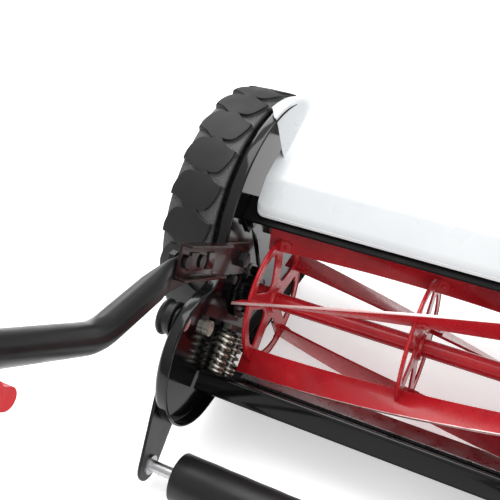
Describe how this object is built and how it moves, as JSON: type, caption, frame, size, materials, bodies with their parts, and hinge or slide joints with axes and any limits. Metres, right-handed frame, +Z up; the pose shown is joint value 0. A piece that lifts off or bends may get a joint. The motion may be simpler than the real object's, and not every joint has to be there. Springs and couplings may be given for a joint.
{
  "type": "push reel lawn mower",
  "caption": "Hand-pushed reel mower with treaded wheels, gear-driven helical blades, sprung bed knife, curved sheet hood, rear roller and fold-over tube handle",
  "frame": {"origin": "bottom centre of the whole mower's box: on the ground, on the middle plane, halfway along its length with the handle at rest", "axes": "+X to the mower's right, +Y forward in the direction of travel, +Z up"},
  "size_m": [0.4544, 1.089, 0.6897],
  "materials": {
    "hood_paint": "semi-gloss pale grey enamel",
    "black_gloss": "high-gloss black powder coat",
    "black_satin": "satin black enamel on tube",
    "bracket_paint": "gloss brown-black enamel",
    "reel_red": "gloss red enamel, worn to metal at the blade edges",
    "zinc": "yellowish zinc plate",
    "steel": "plain machined steel",
    "bronze": "sintered bronze bush",
    "tyre_rubber": "dull grey-black rubber with moulded tread",
    "wheel_plastic": "moulded black nylon",
    "knob_plastic": "moulded black plastic",
    "red_plastic": "moulded red plastic",
    "foam": "closed-cell foam, matt black"
  },
  "bodies": {
    "chassis": {"side_plate_left": "black_gloss", "side_plate_right": "black_gloss", "hood": "hood_paint", "tie_bar": "black_gloss", "frame_screws": "black_satin", "bearing_housings": "black_gloss", "reel_bearings": "steel", "axle_left": "steel", "axle_right": "steel", "axle_nuts": "steel", "wheel_nuts": "steel", "adjuster_bracket_left": "black_gloss", "adjuster_bracket_right": "black_gloss", "adjuster_screws": "zinc", "knife_springs_front": "zinc", "knife_springs_rear": "zinc", "handle_pivot_bolts": "black_satin", "handle_stop_pins": "black_satin", "arm_pivot_bolts": "zinc"},
    "wheel_left": {"tyre_left": "tyre_rubber", "wheel_left": "wheel_plastic", "wheel_bush_left": "bronze", "hub_cap_left": "wheel_plastic"},
    "wheel_right": {"tyre_right": "tyre_rubber", "wheel_right": "wheel_plastic", "wheel_bush_right": "bronze", "hub_cap_right": "wheel_plastic"},
    "pinion_left": {"pinion_left": "steel"},
    "pinion_right": {"pinion_right": "steel"},
    "reel": {"reel_shaft": "reel_red", "reel_spider_left": "reel_red", "reel_spider_centre": "reel_red", "reel_spider_right": "reel_red", "reel_blade_1": "reel_red", "reel_blade_2": "reel_red", "reel_blade_3": "reel_red", "reel_blade_4": "reel_red", "reel_blade_5": "reel_red", "pinion_clips": "steel", "ratchet_pawls": "steel"},
    "knife": {"knife_carrier": "black_gloss", "bed_knife": "steel", "knife_screws": "steel"},
    "height_frame": {"height_arm_left": "black_satin", "height_arm_right": "black_satin", "roller_shaft": "steel", "height_studs": "zinc"},
    "rear_roller": {"rear_roller": "wheel_plastic"},
    "height_knob_left": {"height_knob_left": "knob_plastic"},
    "height_knob_right": {"height_knob_right": "knob_plastic"},
    "lower_handle": {"handle_bracket_left": "bracket_paint", "handle_bracket_right": "bracket_paint", "lower_tube_left": "black_satin", "lower_tube_right": "black_satin", "handle_bolts": "black_satin", "clamp_bolts": "zinc"},
    "upper_handle": {"upper_handle": "black_satin", "foam_grip": "foam"},
    "clamp_knob_left": {"clamp_knob_left": "red_plastic"},
    "clamp_knob_right": {"clamp_knob_right": "red_plastic"}
  },
  "joints": [
    {"name": "wheel_left_spin", "type": "hinge", "parent": "chassis", "child": "wheel_left", "pos_m": [0, 0.41746, 0.127], "axis": [1, 0, 0], "continuous": true},
    {"name": "wheel_right_spin", "type": "hinge", "parent": "chassis", "child": "wheel_right", "pos_m": [0, 0.41746, 0.127], "axis": [1, 0, 0], "continuous": true},
    {"name": "pinion_left_spin", "type": "hinge", "parent": "chassis", "child": "pinion_left", "pos_m": [0, 0.35359, 0.09012], "axis": [1, 0, 0], "continuous": true},
    {"name": "pinion_right_spin", "type": "hinge", "parent": "chassis", "child": "pinion_right", "pos_m": [0, 0.35359, 0.09012], "axis": [1, 0, 0], "continuous": true},
    {"name": "reel_spin", "type": "hinge", "parent": "chassis", "child": "reel", "pos_m": [0, 0.35359, 0.09012], "axis": [1, 0, 0], "continuous": true},
    {"name": "bed_knife_adjust", "type": "hinge", "parent": "chassis", "child": "knife", "pos_m": [0, 0.26746, 0.063], "axis": [1, 0, 0], "range_deg": [-1.5, 0]},
    {"name": "roller_height", "type": "hinge", "parent": "chassis", "child": "height_frame", "pos_m": [0, 0.28146, 0.1], "axis": [1, 0, 0], "range_deg": [-15, 9]},
    {"name": "rear_roller_spin", "type": "hinge", "parent": "height_frame", "child": "rear_roller", "pos_m": [0, 0.18546, 0.021], "axis": [1, 0, 0], "continuous": true},
    {"name": "height_knob_left_turn", "type": "hinge", "parent": "height_frame", "child": "height_knob_left", "pos_m": [-0.19, 0.24746, 0.132], "axis": [1, 0, 0], "continuous": true},
    {"name": "height_knob_right_turn", "type": "hinge", "parent": "height_frame", "child": "height_knob_right", "pos_m": [0.19, 0.24746, 0.132], "axis": [1, 0, 0], "continuous": true},
    {"name": "handle_swing", "type": "hinge", "parent": "chassis", "child": "lower_handle", "pos_m": [0, 0.32246, 0.152], "axis": [-1, 0, 0], "range_deg": [0, 46]},
    {"name": "upper_handle_fold", "type": "hinge", "parent": "lower_handle", "child": "upper_handle", "pos_m": [0, -0.0037, 0.30614], "axis": [-1, 0, 0], "range_deg": [0, 125]},
    {"name": "clamp_knob_left_turn", "type": "hinge", "parent": "lower_handle", "child": "clamp_knob_left", "pos_m": [-0.12, -0.0037, 0.30614], "axis": [1, 0, 0], "continuous": true},
    {"name": "clamp_knob_right_turn", "type": "hinge", "parent": "lower_handle", "child": "clamp_knob_right", "pos_m": [0.12, -0.0037, 0.30614], "axis": [1, 0, 0], "continuous": true}
  ],
  "couplings": [
    {"joint": "pinion_left_spin", "follows": "wheel_left_spin", "ratio": 5.9167},
    {"joint": "pinion_right_spin", "follows": "wheel_right_spin", "ratio": 5.9167},
    {"joint": "reel_spin", "follows": "wheel_left_spin", "ratio": 5.9167}
  ]
}
